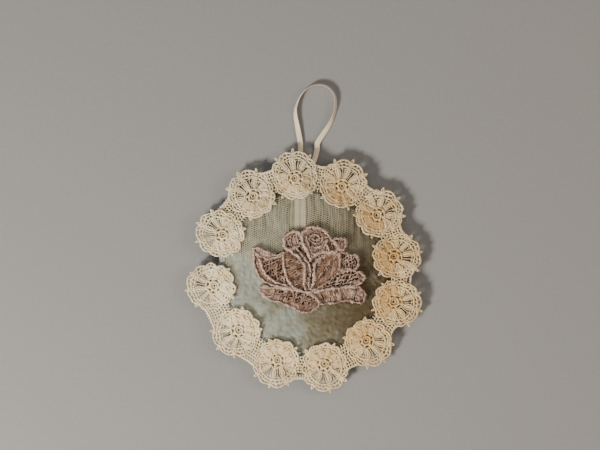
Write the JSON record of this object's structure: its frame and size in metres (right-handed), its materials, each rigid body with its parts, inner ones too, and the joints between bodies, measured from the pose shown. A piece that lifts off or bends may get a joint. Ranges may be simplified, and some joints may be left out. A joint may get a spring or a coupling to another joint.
{
  "type": "ring bearer pillow",
  "caption": "Small round padded pillow with a tulle overlay, an embroidered rose, a ring of scalloped guipure lace medallions and a narrow satin ribbon loop.",
  "frame": {"origin": "centre of the flat back face, on the surface that the pillow lies on", "axes": "+Z out of the pillow's face, the shortest side; +Y from the centre towards the hanging loop; +X to the right as seen from the face"},
  "size_m": [0.1498, 0.1939, 0.0168],
  "materials": {
    "face_fabric": "matte grey-green woven fabric",
    "back_fabric": "matte plain weave",
    "wadding": "loose fibre",
    "tulle": "fine hexagonal net",
    "rose_embroidery": "satin-stitched guipure with a soft sheen",
    "lace": "ecru cotton guipure",
    "satin_ribbon": "satin",
    "thread": "twisted sewing thread"
  },
  "bodies": {
    "pillow": {"back_panel": "back_fabric", "stuffing": "wadding", "rim_seam": "thread", "front_panel": "face_fabric", "tulle_overlay": "tulle", "rose_applique": "rose_embroidery", "lace_medallion_01": "lace", "lace_medallion_02": "lace", "lace_medallion_03": "lace", "lace_medallion_04": "lace", "lace_medallion_05": "lace", "lace_medallion_06": "lace", "lace_medallion_07": "lace", "lace_medallion_08": "lace", "lace_medallion_09": "lace", "lace_medallion_10": "lace", "lace_medallion_11": "lace", "lace_medallion_12": "lace", "lace_bridge_01": "lace", "lace_bridge_02": "lace", "lace_bridge_03": "lace", "lace_bridge_04": "lace", "lace_bridge_05": "lace", "lace_bridge_06": "lace", "lace_bridge_07": "lace", "lace_bridge_08": "lace", "lace_bridge_09": "lace", "lace_bridge_11": "lace", "lace_bridge_12": "lace", "lace_tack_01": "thread", "lace_tack_02": "thread", "lace_tack_03": "thread", "lace_tack_04": "thread", "lace_tack_05": "thread", "lace_tack_06": "thread", "lace_tack_07": "thread", "lace_tack_08": "thread", "lace_tack_09": "thread", "lace_tack_10": "thread", "lace_tack_11": "thread", "lace_tack_12": "thread", "hanger_tail_left": "satin_ribbon", "hanger_tail_right": "satin_ribbon", "hanger_bar_tack": "thread"},
    "hanger": {"hanger_ribbon": "satin_ribbon"}
  },
  "joints": [
    {"name": "hanger_swing", "type": "hinge", "parent": "pillow", "child": "hanger", "pos_m": [0, 0.0785, 0.0013], "axis": [1, 0, 0], "range_deg": [0, 100]}
  ]
}
